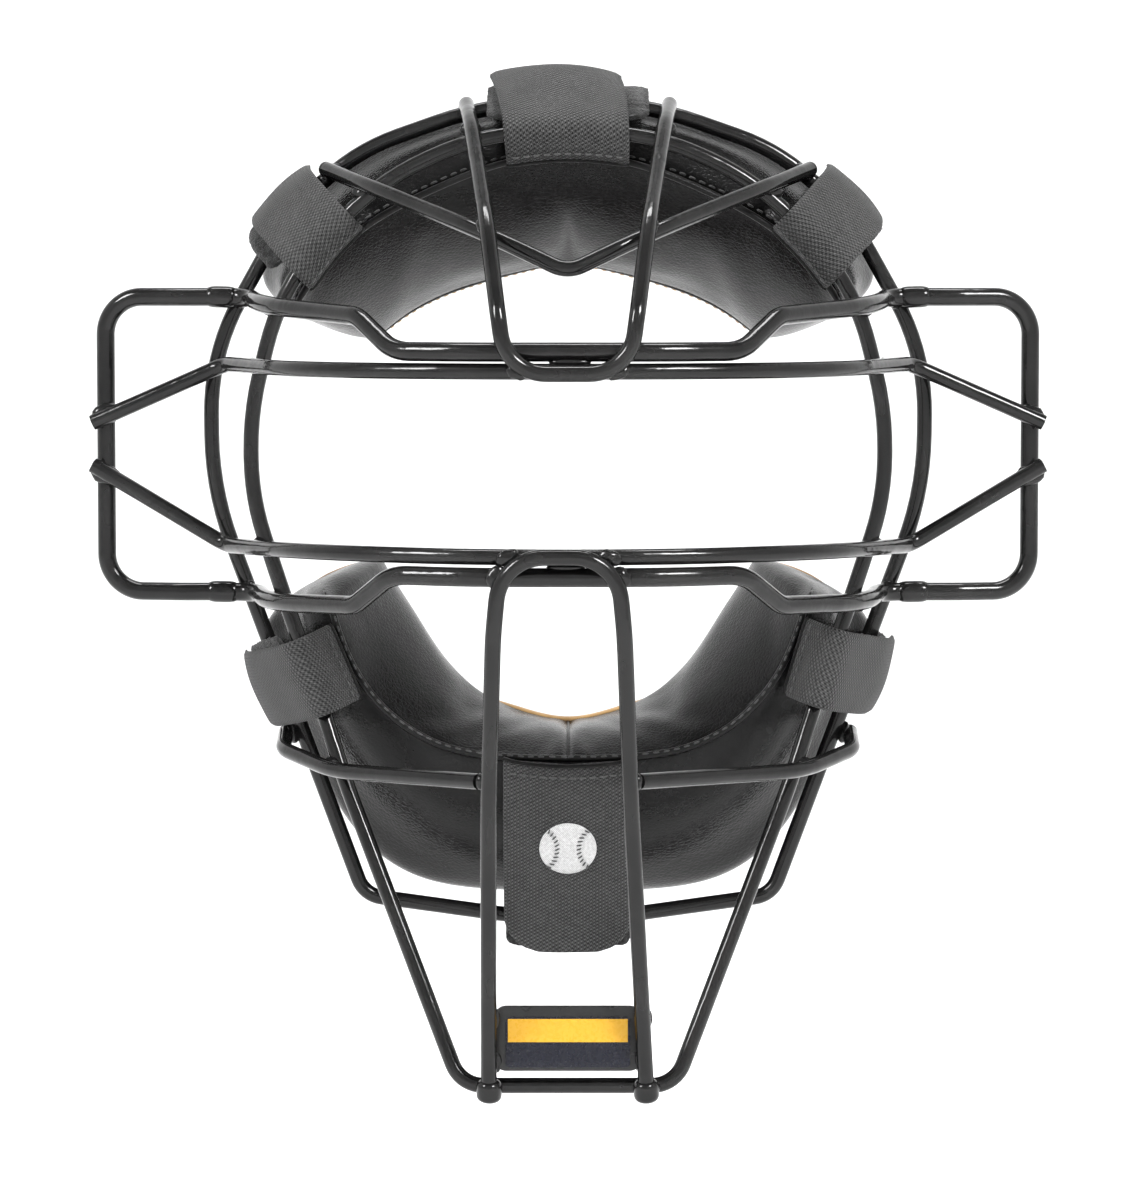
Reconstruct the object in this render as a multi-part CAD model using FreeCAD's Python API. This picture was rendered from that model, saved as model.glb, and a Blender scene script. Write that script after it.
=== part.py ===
"""Wire face mask for a baseball catcher, with two leather pads held on by six hook-and-loop closures.

Frame: +X is the viewer's right when the mask is seen from the front, +Y points back to the wearer's
face and +Z is up. The origin is the centre of the vision opening, in the plane of the rear hoop.
Millimetres.
"""
import FreeCAD, Part
import math
import os

# --- wire ---
THIN_WIRE = 4.3          # hoops, sight bars, U bars, brow bar and cheek bars, over the coating
HEAVY_WIRE = 5.1         # visor bars and ear guards, over the coating

# --- plane of each part of the cage, front to back ---
HOOP_PLANE = 0.0         # rear hoop
FRONT_HOOP_Y = -22.0     # front hoop, above the cheeks
VISOR_Y = -87.5          # middle of both visor bars
SIGHT_Y = -88.0          # middle of both sight bars
U_BAR_Y = -92.3          # middle of both U bars, which cross in front of all four
LOWER_U_ASKEW = -2.3     # how far the top of the lower U bar sits off the middle
EAR_WELD_X = 96.5        # where a visor bar is butt-welded to an ear guard

# --- heights of the vision bars ---
UPPER_VISOR_Z = 30.2
UPPER_SIGHT_Z = 25.1
LOWER_SIGHT_Z = -23.4
LOWER_VISOR_Z = -28.7
EAR_TOP_Z = 44.2
EAR_BOTTOM_Z = -38.0
EAR_OUTER_X = 129.2

# --- nameplate between the lower U bar's legs ---
PLATE_SIZE = (40.0, 1.2, 17.6)
PLATE_CORNER = 3.5
PLATE_CENTRE = (0.0, -63.3, -154.3)
PLATE_TILT = -10.6       # degrees about X, the slope of the legs
LABEL_SIZE = (33.4, 0.4, 13.6)
LABEL_DROP = 1.1         # the label sits this far below the plate's middle
LABEL_CORNER = 1.0

# --- pads ---
LEATHER = 1.4            # cover thickness
FOAM_GAP = 0.1           # foam to leather
END_WALL = (1.5, 2.0)    # a pad's closing wall: its turn in degrees and the step of its inner edge
LINING = 1.4             # face-side lining thickness
SEAM_Y = -18.5           # front seam of both pads
WALL_Y = (-10.0, 4.5)    # outer wall, where it passes inside the two hoops
BULGE_Y = 14.0           # widest line, just behind the rear hoop
BINDING = (2.4, 1.9)     # strip sewn over the front seam, width and thickness
BINDING_GAP = 0.2

# A pad's sections stand on rays from the origin. Each row: ray angle from vertical in degrees, then
# the distances to the face edge, the front seam, the wall inside the rear hoop and the bulge
# behind it, then the Y of the face side.
BROW_SECTIONS = (
    (0, 54.0, 83.2, 95.8, 100.0, 27),
    (14, 53.0, 82.8, 96.0, 100.5, 28),
    (27, 54.0, 82.0, 97.8, 102.5, 29),
    (39, 57.0, 84.0, 99.4, 104.0, 31),
    (50, 60.5, 86.0, 99.2, 103.0, 33),
    (59.5, 63.5, 86.0, 98.0, 100.5, 35),
)
CHIN_SECTIONS = (
    (0, 77.0, 83.4, 117.0, 124.6, 27),
    (12, 75.0, 84.5, 118.5, 126.4, 27),
    (23, 72.0, 87.5, 121.0, 129.5, 28),
    (33, 68.0, 87.5, 113.5, 122.0, 30),
    (43, 63.5, 84.0, 102.5, 109.5, 33),
    (53, 62.0, 80.0, 96.0, 100.5, 35),
    (61.5, 61.5, 77.0, 91.5, 94.0, 35),
)

# --- closures ---
TAB_THICKNESS = 1.6
TAB_CORNER = 2.5
CHIN_TAB_CORNER = 11.0
CORNER_TAB_WIDTH = 22.4
TOP_TAB_WIDTH = 34.6
CHIN_TAB_WIDTH = 36.0
REAR_TAB_SPREAD = {"top": 10.0, "chin": -1.0}  # how much wider the loop-pile tab is there
EMBLEM_RADIUS = 8.0
EMBLEM_THICKNESS = 0.5
EMBLEM_PLACE = 0.10      # how far along the tab's first slope the emblem's middle is


def vec(point):
    """Vector of an (x, y, z) tuple."""
    return FreeCAD.Vector(*point)


def mirror_left(points):
    """The same points on the wearer's other side."""
    return [(-x, y, z) for x, y, z in points]


def across(half):
    """A whole symmetric route from its right half, which starts next to the middle plane."""
    return mirror_left(reversed(half)) + list(half)


def save(name, shape):
    """Write one node and print what is needed to judge it."""
    shape.exportStep("parts/" + name + ".step")
    print("%-26s valid %s  solids %d  volume %.0f" % (name, shape.isValid(), len(shape.Solids), shape.Volume))


# ---------------------------------------------------------------- wires

def corner_arc(before, corner, after, radius):
    """Tangent arc in a corner of a route: its start, its middle and its end."""
    back = (vec(before) - vec(corner)).normalize()
    ahead = (vec(after) - vec(corner)).normalize()
    half_angle = back.getAngle(ahead) / 2
    reach = radius / math.tan(half_angle)
    inward = (back + ahead).normalize()
    middle = vec(corner) + inward * (radius / math.sin(half_angle) - radius)
    return vec(corner) + back * reach, middle, vec(corner) + ahead * reach


def route_edges(points, radii, closed):
    """Straight runs joined by tangent arcs; radii has one value for each bent corner."""
    count = len(points)
    corners = range(count) if closed else range(1, count - 1)
    arcs = [
        corner_arc(points[i - 1], points[i], points[(i + 1) % count], radius)
        for i, radius in zip(corners, radii)
    ]
    ends = [a for arc in arcs for a in (arc[0], arc[2])]
    if closed:
        starts = [ends[-1]] + ends[1:-1:2]
        runs = list(zip(starts, ends[0::2]))
    else:
        line = [vec(points[0])] + ends + [vec(points[-1])]
        runs = list(zip(line[0::2], line[1::2]))
    edges = []
    for i, (start, stop) in enumerate(runs):
        if (stop - start).Length > 0.01:
            edges.append(Part.LineSegment(start, stop).toShape())
        if i < len(arcs):
            edges.append(Part.Arc(*arcs[i]).toShape())
    return edges


def bent_wire(points, radii, diameter, closed=False):
    """Round wire bent along a route."""
    path = Part.Wire(route_edges(points, radii, closed))
    first = path.OrderedEdges[0]
    start = first.valueAt(first.FirstParameter)
    along = first.tangentAt(first.FirstParameter)
    ring = Part.Wire(Part.makeCircle(diameter / 2, start, along))
    tube = path.makePipeShell([ring], True, False)
    expected = math.pi * diameter ** 2 / 4 * path.Length
    print("    wire length %.0f, volume over section times length %.4f" % (path.Length, tube.Volume / expected))
    return tube


def rear_hoop():
    """Perimeter hoop next to the face: round above, narrowing straight to a flat chin."""
    side = [
        (21.5, HOOP_PLANE, 98.0),
        (57.0, HOOP_PLANE, 85.5),
        (77.3, HOOP_PLANE, 69.0),
        (99.9, HOOP_PLANE, 28.5),
        (99.6, HOOP_PLANE, -10.0),
        (57.4, HOOP_PLANE, -124.0),
        (0.0, HOOP_PLANE, -132.0),
    ]
    points = side + mirror_left(reversed(side[:-1]))
    half = [95.0, 58.0, 72.0, 65.0, 90.0, 8.0]
    return bent_wire(points, half + [150.0] + half[::-1], THIN_WIRE, closed=True)


def front_hoop():
    """Second hoop, inside and in front of the rear one, running down and forward to the throat bar."""
    side = [
        (22.5, FRONT_HOOP_Y, 89.3),
        (53.3, FRONT_HOOP_Y, 75.3),
        (79.0, FRONT_HOOP_Y, 46.1),
        (87.3, FRONT_HOOP_Y, 12.6),
        (87.1, FRONT_HOOP_Y, -11.0),
        (77.0, -23.8, -41.5),
        (69.3, -25.6, -63.5),
        (60.6, -35.0, -89.0),
        (28.9, -60.0, -167.7),
    ]
    points = side + mirror_left(reversed(side))
    half = [72.0, 75.0, 65.0, 85.0, 70.0, 150.0, 60.0, 150.0, 9.0]
    return bent_wire(points, half + half[::-1], THIN_WIRE, closed=True)


def top_u_bar():
    """U bar from the top of both hoops down and forward across the upper vision bars."""
    half = [
        (16.0, U_BAR_Y, 24.6),
        (18.1, U_BAR_Y, 40.0),
        (21.5, -71.0, 64.5),
        (26.5, -25.0, 91.6),
        (28.2, -3.3, 97.6),
    ]
    return bent_wire(across(half), [50.0, 40.0, 12.0, 12.0, 12.0, 12.0, 40.0, 50.0], THIN_WIRE)


def brow_v_bar():
    """V bar across the forehead, behind the top U bar's legs."""
    half = [
        (22.0, -65.2, 61.4),
        (53.5, -29.6, 74.1),
        (67.2, -3.4, 79.6),
    ]
    point = [(0.0, -73.5, 51.0)]
    points = mirror_left(reversed(half)) + point + half
    return bent_wire(points, [60.0, 40.0, 7.0, 40.0, 60.0], THIN_WIRE)


def upper_visor_bar():
    """Heavy bar over the vision opening, stepping up at both sides and running back to the ear guards."""
    half = [
        (24.0, VISOR_Y, UPPER_VISOR_Z),
        (45.8, -77.0, UPPER_VISOR_Z),
        (56.0, -63.5, 39.4),
        (83.6, -28.0, 42.0),
        (88.2, -4.6, 43.9),
        (EAR_WELD_X, -4.6, EAR_TOP_Z),
    ]
    radii = [7.0, 60.0, 12.0, 14.0, 50.0]
    return bent_wire(across(half), radii + radii[::-1], HEAVY_WIRE)


def lower_visor_bar():
    """Heavy bar under the vision opening, the mirror of the upper one in its bends."""
    half = [
        (24.0, VISOR_Y, LOWER_VISOR_Z),
        (46.5, -76.5, LOWER_VISOR_Z),
        (57.0, -63.0, -37.8),
        (82.2, -30.2, -39.2),
        (86.4, -4.6, -38.2),
        (EAR_WELD_X, -4.6, EAR_BOTTOM_Z),
    ]
    radii = [7.0, 60.0, 12.0, 14.0, 50.0]
    return bent_wire(across(half), radii + radii[::-1], HEAVY_WIRE)


def ear_guard(side):
    """Heavy C-shaped loop beside the ear; side is 1 for right and -1 for left."""
    points = [
        (side * EAR_WELD_X, -4.6, EAR_TOP_Z),
        (side * 108.0, -4.6, EAR_TOP_Z),
        (side * EAR_OUTER_X, -0.2, EAR_TOP_Z),
        (side * EAR_OUTER_X, -0.2, EAR_BOTTOM_Z),
        (side * 108.0, -4.6, EAR_BOTTOM_Z),
        (side * EAR_WELD_X, -4.6, EAR_BOTTOM_Z),
    ]
    return bent_wire(points, [20.0, 10.5, 10.5, 20.0], HEAVY_WIRE)


def sight_bar(height, shoulder_x, bend_height, end_height):
    """Level bar round the vision opening, with ends that run out to the ear guards."""
    half = [
        (25.0, SIGHT_Y, height),
        (shoulder_x, -63.0, height),
        (95.2, -6.8, bend_height),
        (132.6, -4.6, end_height),
    ]
    radii = [6.0, 70.0, 90.0]
    return bent_wire(across(half), radii + radii[::-1], THIN_WIRE)


def lower_u_bar():
    """Inverted U from in front of the lower vision bars down to the throat bar, welded a little askew."""
    legs = [
        (LOWER_U_ASKEW, 15.2, U_BAR_Y, -23.2),
        (LOWER_U_ASKEW, 17.2, -90.4, -44.0),
        (LOWER_U_ASKEW + 0.2, 18.9, -79.5, -91.0),
        (0.0, 21.2, -64.0, -169.9),
    ]
    right = [(middle + half, y, z) for middle, half, y, z in legs]
    left = [(middle - half, y, z) for middle, half, y, z in legs]
    return bent_wire(left[::-1] + right, [400.0, 60.0, 12.5, 12.5, 60.0, 400.0], THIN_WIRE)


def cheek_bar(side):
    """Bar from the outside of the rear hoop, round the front hoop, to a leg of the lower U bar."""
    points = [
        (side * 79.4, 3.0, -78.2),
        (side * 79.2, -15.0, -81.2),
        (side * 64.0, -39.6, -84.6),
        (LOWER_U_ASKEW + side * 21.3, -78.0, -83.4),
    ]
    return bent_wire(points, [16.0, 60.0], THIN_WIRE)


# ---------------------------------------------------------------- nameplate

def rounded_plate(size, corner):
    """Flat plate in XZ, centred on the origin, with rounded corners."""
    width, thickness, height = size
    plate = Part.makeBox(width, thickness, height, FreeCAD.Vector(-width / 2, -thickness / 2, -height / 2))
    through = [e for e in plate.Edges if abs(e.tangentAt(e.FirstParameter).y) > 0.9]
    return plate.makeFillet(corner, through)


def set_on_legs(shape, forward, drop):
    """Tilt a flat piece to the legs' slope and place it from the plate's centre."""
    shape.translate(FreeCAD.Vector(0, forward, -drop))
    shape.rotate(FreeCAD.Vector(0, 0, 0), FreeCAD.Vector(1, 0, 0), PLATE_TILT)
    shape.translate(vec(PLATE_CENTRE))
    return shape


def nameplate():
    """Plate welded behind the legs of the lower U bar."""
    return set_on_legs(rounded_plate(PLATE_SIZE, PLATE_CORNER), 0.0, 0.0)


def nameplate_label():
    """Plain two-colour label on the front of the plate."""
    forward = -(PLATE_SIZE[1] + LABEL_SIZE[1]) / 2
    return set_on_legs(rounded_plate(LABEL_SIZE, LABEL_CORNER), forward, LABEL_DROP)


# ---------------------------------------------------------------- pads

def pad_outline(row):
    """Outline of a pad's section in (distance from the origin, Y): a wedge with its point at the seam."""
    angle, inner, seam, wall, bulge, face_y = row
    shoulder = seam + 0.55 * (wall - seam)
    return [
        (inner + 4.0, face_y),
        (inner, face_y - 6.0),
        (seam, SEAM_Y),
        (shoulder, WALL_Y[0]),
        (wall, WALL_Y[1]),
        (bulge, BULGE_Y),
        (bulge - 2.5, face_y - 5.0),
        (bulge - 8.0, face_y),
    ]


def inset(outline, distance):
    """The closed outline moved inward; it runs so that the inside is on its right."""
    moved = []
    count = len(outline)
    for i in range(count):
        before, here, after = outline[i - 1], outline[i], outline[(i + 1) % count]
        normals = []
        for (ax, ay), (bx, by) in ((before, here), (here, after)):
            length = math.hypot(bx - ax, by - ay)
            normals.append((-(by - ay) / length, (bx - ax) / length))
        nx = normals[0][0] + normals[1][0]
        ny = normals[0][1] + normals[1][1]
        scale = distance / (1 + normals[0][0] * normals[1][0] + normals[0][1] * normals[1][1])
        moved.append((here[0] + nx * scale, here[1] + ny * scale))
    return moved


def on_ray(angle, down, outline):
    """Closed wire of an outline on the ray at this angle from straight up, or from straight down."""
    tilt = math.radians(angle)
    rise = -math.cos(tilt) if down else math.cos(tilt)
    points = [FreeCAD.Vector(s * math.sin(tilt), y, s * rise) for s, y in outline]
    return Part.makePolygon(points + [points[0]])


def both_sides(rows):
    """Section rows from the left end to the right end."""
    left = [(-row[0],) + tuple(row[1:]) for row in reversed(rows[1:])]
    return left + list(rows)


def along_pad(rows, down, shape_of):
    """Solid through the section that shape_of gives for each row."""
    wires = [on_ray(row[0], down, shape_of(row)) for row in both_sides(rows)]
    return Part.makeLoft(wires, True, True)


def pad_cover(rows, down):
    """Leather shell, open at the face side, with a closed wall at each end."""
    def shell_section(row):
        outer = pad_outline(row)
        inner = inset(outer, LEATHER)
        inner[0] = (outer[0][0] + LEATHER, outer[0][1])
        inner[-1] = (outer[-1][0] - LEATHER, outer[-1][1])
        return outer + inner[::-1]

    shell = along_pad(rows, down, shell_section)
    ends = []
    for side in (1, -1):
        last = rows[-1]
        near = (side * last[0],) + tuple(last[1:])
        far = (side * (last[0] + END_WALL[0]), last[1] + END_WALL[1]) + tuple(last[2:])
        wires = [on_ray(row[0], down, pad_outline(row)) for row in (near, far)]
        ends.append(Part.makeLoft(wires, True, True))
    return shell.multiFuse(ends)


def pad_foam(rows, down):
    """Foam core that fills the cover."""
    def foam_section(row):
        outer = pad_outline(row)
        core = inset(outer, LEATHER + FOAM_GAP)
        core[0] = (outer[0][0] + LEATHER + FOAM_GAP, outer[0][1] - FOAM_GAP)
        core[-1] = (outer[-1][0] - LEATHER - FOAM_GAP, outer[-1][1] - FOAM_GAP)
        return core

    return along_pad(shortened(rows), down, foam_section)


def shortened(rows):
    """The rows with the last one drawn in, so that the foam stays clear of the cover's end walls."""
    last = rows[-1]
    return list(rows[:-1]) + [(last[0] - FOAM_GAP,) + tuple(last[1:])]


def pad_lining(rows, down):
    """Soft lining that lies on the face."""
    def lining_section(row):
        inner, bulge, face_y = row[1], row[4], row[5]
        low = face_y + FOAM_GAP
        return [(inner + 2.5, low), (bulge - 8.0, low), (bulge - 8.0, low + LINING), (inner + 2.5, low + LINING)]

    return along_pad(rows, down, lining_section)


def pad_binding(rows, down):
    """Leather strip sewn over the front seam."""
    def binding_section(row):
        seam = row[2]
        width, thickness = BINDING
        low = SEAM_Y - BINDING_GAP
        return [
            (seam - width / 2, low),
            (seam + width / 2, low),
            (seam + width / 2 - 0.3, low - thickness),
            (seam - width / 2 + 0.3, low - thickness),
        ]

    return along_pad(rows, down, binding_section)


# ---------------------------------------------------------------- closures

def strip(points, thickness):
    """Outline of a bent strip, given its middle line in (distance outward, Y)."""
    sides = ([], [])
    for i, (s, y) in enumerate(points):
        normals = []
        for j in (i - 1, i):
            if 0 <= j < len(points) - 1:
                ds = points[j + 1][0] - points[j][0]
                dy = points[j + 1][1] - points[j][1]
                length = math.hypot(ds, dy)
                normals.append((-dy / length, ds / length))
        ns = sum(n[0] for n in normals) / len(normals)
        ny = sum(n[1] for n in normals) / len(normals)
        scale = thickness / 2 / (ns * ns + ny * ny)
        sides[0].append((s + ns * scale, y + ny * scale))
        sides[1].append((s - ns * scale, y - ny * scale))
    return sides[0] + sides[1][::-1]


class Closure:
    """Where a closure lies: its outward direction in XZ, its sideways offset and the hoops it crosses."""

    def __init__(self, name, degrees, offset, width, seam, front, rear, lift=0.0):
        turn = math.radians(degrees)
        self.name = name
        self.out = FreeCAD.Vector(math.cos(turn), 0, math.sin(turn))
        self.aside = FreeCAD.Vector(-math.sin(turn), 0, math.cos(turn))
        self.offset = offset
        self.width = width
        self.seam = seam      # distance from the origin to the pad's front seam
        self.front = front    # distance and Y of the front hoop, or None where it isn't crossed
        self.rear = rear      # distance of the rear hoop
        self.lift = lift      # how far a loose end stands out past its usual place

    def place(self, s, y, t=0.0):
        """Point at this distance outward, this Y and this far sideways of the closure's middle."""
        return self.out * s + self.aside * (self.offset + t) + FreeCAD.Vector(0, y, 0)

    def hinge(self):
        """Middle of the line of stitches that the front tab turns on."""
        return self.front_line()[0]

    def front_line(self):
        """Middle line of the front tab: from the seam, over both hoops, past the rear hoop."""
        if self.front is None:
            return [
                (self.seam + 2.0, -21.4),
                (self.seam + 23.0, -13.6),
                (self.rear - 2.5, -5.6),
                (self.rear + 3.6, -3.6),
                (self.rear + 10.2, -3.0),
            ]
        s, y = self.front
        return [
            (self.seam - 0.8, -22.2),
            (s - 3.0, y - 3.9),
            (s + 3.0, y - 3.9),
            (self.rear + 2.9, -12.8),
            (self.rear + 5.9 + self.lift, 0.5),
            (self.rear + 6.2 + self.lift, 9.0),
        ]

    def rear_line(self):
        """Middle line of the rear tab: from the back of the pad, over the rear hoop."""
        if self.front is None:
            return [
                (self.rear - 5.5, 23.0),
                (self.rear + 0.4, 8.0),
                (self.rear + 4.2, 0.6),
                (self.rear + 8.8, 0.0),
            ]
        s, y = self.front
        return [
            (self.rear + 1.0, 27.0),
            (self.rear + 3.7, 13.0),
            (self.rear + 3.9, 2.0),
            (self.rear + 0.7, -11.0),
            (s + 4.1, y + 2.3),
        ]


def closures():
    """The six closures; the lower two were fastened at slightly different angles."""
    upper_front = (89.8, FRONT_HOOP_Y)
    return [
        Closure("top", 90, 0.0, TOP_TAB_WIDTH, 83.2, (89.2, FRONT_HOOP_Y), 97.9, 1.6),
        Closure("upper_right", 45, -6.1, CORNER_TAB_WIDTH, 85.4, upper_front, 102.3),
        Closure("upper_left", 135, 6.1, CORNER_TAB_WIDTH, 85.4, upper_front, 102.3),
        Closure("lower_right", -17, -34.0, CORNER_TAB_WIDTH, 77.6, (85.1, -27.3), 95.9, 0.2),
        Closure("lower_left", -158, 29.0, CORNER_TAB_WIDTH, 79.4, (87.9, -28.0), 98.5, 0.4),
        Closure("chin", -90, 0.0, CHIN_TAB_WIDTH, 83.4, None, 129.4),
    ]


def tab_solid(closure, line, width, corner):
    """Bent strip of webbing with rounded corners at its free end."""
    outline = [closure.place(s, y, -width / 2) for s, y in strip(line, TAB_THICKNESS)]
    face = Part.Face(Part.makePolygon(outline + [outline[0]]))
    solid = face.extrude(closure.aside * width)
    tip = closure.place(*line[-1])
    across_end = [
        e for e in solid.Edges
        if abs(e.Length - TAB_THICKNESS) < 0.1 and abs((e.CenterOfMass - tip).Length - width / 2) < 0.2
    ]
    return solid.makeFillet(corner, across_end)


def front_tab(closure):
    """Hook tab sewn to the pad's front seam; it lifts forward about that seam."""
    corner = CHIN_TAB_CORNER if closure.front is None else TAB_CORNER
    return tab_solid(closure, closure.front_line(), closure.width, corner)


def rear_tab(closure):
    """Loop-pile tab from the back of the pad, trapped under the front tab."""
    spread = REAR_TAB_SPREAD.get(closure.name, 0.0)
    return tab_solid(closure, closure.rear_line(), closure.width + spread, TAB_CORNER)


def chin_emblem(closure):
    """Thin round embroidered patch on the front of the chin tab."""
    line = closure.front_line()
    (s0, y0), (s1, y1) = line[1], line[2]
    length = math.hypot(s1 - s0, y1 - y0)
    normal = closure.out * ((y1 - y0) / length) + FreeCAD.Vector(0, -(s1 - s0) / length, 0)
    middle = closure.place(s0 + (s1 - s0) * EMBLEM_PLACE, y0 + (y1 - y0) * EMBLEM_PLACE)
    start = middle + normal * (TAB_THICKNESS / 2)
    return Part.makeCylinder(EMBLEM_RADIUS, EMBLEM_THICKNESS, start, normal)


def build():
    """Write every node."""
    os.makedirs("parts", exist_ok=True)
    save("rear_hoop", rear_hoop())
    save("front_hoop", front_hoop())
    save("top_u_bar", top_u_bar())
    save("brow_v_bar", brow_v_bar())
    save("upper_visor_bar", upper_visor_bar())
    save("lower_visor_bar", lower_visor_bar())
    save("upper_sight_bar", sight_bar(UPPER_SIGHT_Z, 71.2, 25.6, 9.2))
    save("lower_sight_bar", sight_bar(LOWER_SIGHT_Z, 69.8, -24.9, -2.6))
    save("lower_u_bar", lower_u_bar())
    for side, word in ((1, "right"), (-1, "left")):
        save(word + "_ear_guard", ear_guard(side))
        save(word + "_cheek_bar", cheek_bar(side))
    save("nameplate", nameplate())
    save("nameplate_label", nameplate_label())
    for name, rows, down in (("brow_pad", BROW_SECTIONS, False), ("chin_pad", CHIN_SECTIONS, True)):
        save(name + "_cover", pad_cover(rows, down))
        save(name + "_foam", pad_foam(rows, down))
        save(name + "_lining", pad_lining(rows, down))
        save(name + "_binding", pad_binding(rows, down))
    for closure in closures():
        save(closure.name + "_front_tab", front_tab(closure))
        save(closure.name + "_rear_tab", rear_tab(closure))
        hinge = closure.place(*closure.hinge())
        print("    hinge at %.2f %.2f %.2f along %.4f %.4f %.4f" % (tuple(hinge) + tuple(closure.aside)))
        if closure.name == "chin":
            save("chin_tab_emblem", chin_emblem(closure))


build()
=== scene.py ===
"""Catcher's mask: looks for the wire cage, its two leather pads and the webbing that holds them."""
import math

import bpy
import numpy as np
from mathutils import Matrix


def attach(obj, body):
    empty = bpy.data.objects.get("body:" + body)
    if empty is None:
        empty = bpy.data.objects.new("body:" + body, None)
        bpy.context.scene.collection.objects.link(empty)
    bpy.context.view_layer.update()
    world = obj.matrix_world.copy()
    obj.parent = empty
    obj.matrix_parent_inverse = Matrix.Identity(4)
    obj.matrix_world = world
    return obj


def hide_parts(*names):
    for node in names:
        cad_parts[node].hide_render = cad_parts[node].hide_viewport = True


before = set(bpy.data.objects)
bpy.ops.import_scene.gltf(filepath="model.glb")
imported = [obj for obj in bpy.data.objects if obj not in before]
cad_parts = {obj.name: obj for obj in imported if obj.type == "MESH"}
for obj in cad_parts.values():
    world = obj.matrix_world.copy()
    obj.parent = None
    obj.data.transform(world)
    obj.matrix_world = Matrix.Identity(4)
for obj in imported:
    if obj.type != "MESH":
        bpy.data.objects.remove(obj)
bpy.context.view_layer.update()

MM = 0.001
TAU = 2 * math.pi
rng = np.random.default_rng(7)


# ---------------------------------------------------------------- meshes

def quads(rows, cols, loop_rows=False, loop_cols=False):
    """Corner numbers of the four-sided faces of a grid of points, row after row."""
    i = np.arange(rows if loop_rows else rows - 1)[:, None]
    j = np.arange(cols if loop_cols else cols - 1)[None, :]
    i2, j2 = (i + 1) % rows, (j + 1) % cols
    corners = np.broadcast_arrays(i * cols + j, i * cols + j2, i2 * cols + j2, i2 * cols + j)
    return np.stack(corners, -1).reshape(-1, 4)


def volume_of(points, faces):
    """Signed volume: a sixth of the triple product of each triangle's corners, added up."""
    total = 0.0
    for k in range(1, faces.shape[1] - 1):
        a, b, c = points[faces[:, 0]], points[faces[:, k]], points[faces[:, k + 1]]
        total += np.einsum("ij,ij->i", a, np.cross(b, c)).sum() / 6
    return total


def make_piece(name, points, face_lists, lay=None):
    """Mesh object at the origin; lay is a point attribute that a weave or a print follows."""
    mesh = bpy.data.meshes.new(name)
    faces = [f.tolist() for group in face_lists for f in group]
    mesh.from_pydata(points.tolist(), [], faces)
    mesh.polygons.foreach_set("use_smooth", np.ones(len(mesh.polygons), dtype=bool))
    if lay is not None:
        layer = mesh.attributes.new("lay", "FLOAT_VECTOR", "POINT")
        layer.data.foreach_set("vector", np.ascontiguousarray(lay, dtype=np.float32).ravel())
    mesh.update()
    piece = bpy.data.objects.new(name, mesh)
    bpy.context.scene.collection.objects.link(piece)
    return piece


def end_fans(rows, cols):
    """Three-sided faces that join the first and the last ring to a point each, numbered after the rings."""
    j = np.arange(cols)
    j2 = (j + 1) % cols
    base = (rows - 1) * cols
    first = np.stack([np.full(cols, rows * cols), j2, j], -1)
    last = np.stack([np.full(cols, rows * cols + 1), base + j, base + j2], -1)
    return np.vstack([first, last])


def capped(rings):
    """Points, four-sided faces along the rings and three-sided faces at the ends of a closed form: the rings
    with a point at the middle of each end ring."""
    rows, cols = rings.shape[:2]
    points = np.vstack([rings.reshape(-1, 3), rings[0].mean(0), rings[-1].mean(0)])
    return points, quads(rows, cols, loop_cols=True), end_fans(rows, cols)


def closed_loft(name, rings, lay=None):
    """Closed skin through rings of points, facing outwards."""
    points, sides, ends = capped(rings)
    if volume_of(points, sides) + volume_of(points, ends) < 0:
        sides, ends = sides[:, ::-1], ends[:, ::-1]
    if lay is not None:
        lay = np.vstack([lay.reshape(-1, 3), lay[0].mean(0), lay[-1].mean(0)])
    return make_piece(name, points, [sides, ends], lay)


def copies(name, form, frames, centres):
    """One mesh of many copies of a small closed form, each with its own 3 by 3 frame and centre."""
    template, sides, ends = form
    points = np.einsum("nij,kj->nki", frames, template) + centres[:, None, :]
    first_corner = (np.arange(len(centres)) * len(template))[:, None, None]
    placed = template @ frames[0].T
    inside_out = volume_of(placed, sides) + volume_of(placed, ends) < 0
    groups = []
    for faces in (sides, ends):
        shifted = (faces[None] + first_corner).reshape(-1, faces.shape[1])
        groups.append(shifted[:, ::-1] if inside_out else shifted)
    return make_piece(name, points.reshape(-1, 3), groups)


def turned(radius, height, cols):
    """Rings about the Z axis, one for each radius and height."""
    turn = np.linspace(0, TAU, cols, endpoint=False)
    radius, height = radius[:, None], height[:, None]
    return np.stack([radius * np.cos(turn), radius * np.sin(turn), height + 0 * turn], -1)


def ball_grid(rows, cols):
    """Unit ball: rings whose radius is the sine of the polar angle and whose height is its cosine."""
    polar = np.linspace(0.08, math.pi - 0.08, rows)
    return turned(np.sin(polar), np.cos(polar), cols)


def unit(v):
    """Vectors scaled to length one."""
    return v / np.maximum(np.linalg.norm(v, axis=-1, keepdims=True), 1e-12)


def curve_through(controls, count, steps=24):
    """Catmull-Rom curve through control points, evened out so that its points lie equal lengths apart."""
    p = np.asarray(controls, float)
    p = np.vstack([2 * p[0] - p[1], p, 2 * p[-1] - p[-2]])
    t = np.linspace(0, 1, steps, endpoint=False)[:, None]
    runs = []
    for a, b, c, d in zip(p[:-3], p[1:-2], p[2:-1], p[3:]):
        square = 2 * a - 5 * b + 4 * c - d
        cube = 3 * b - a - 3 * c + d
        runs.append(0.5 * (2 * b + (c - a) * t + square * t ** 2 + cube * t ** 3))
    dense = np.vstack(runs + [p[-2:-1]])
    return evened(dense, count)


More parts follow.
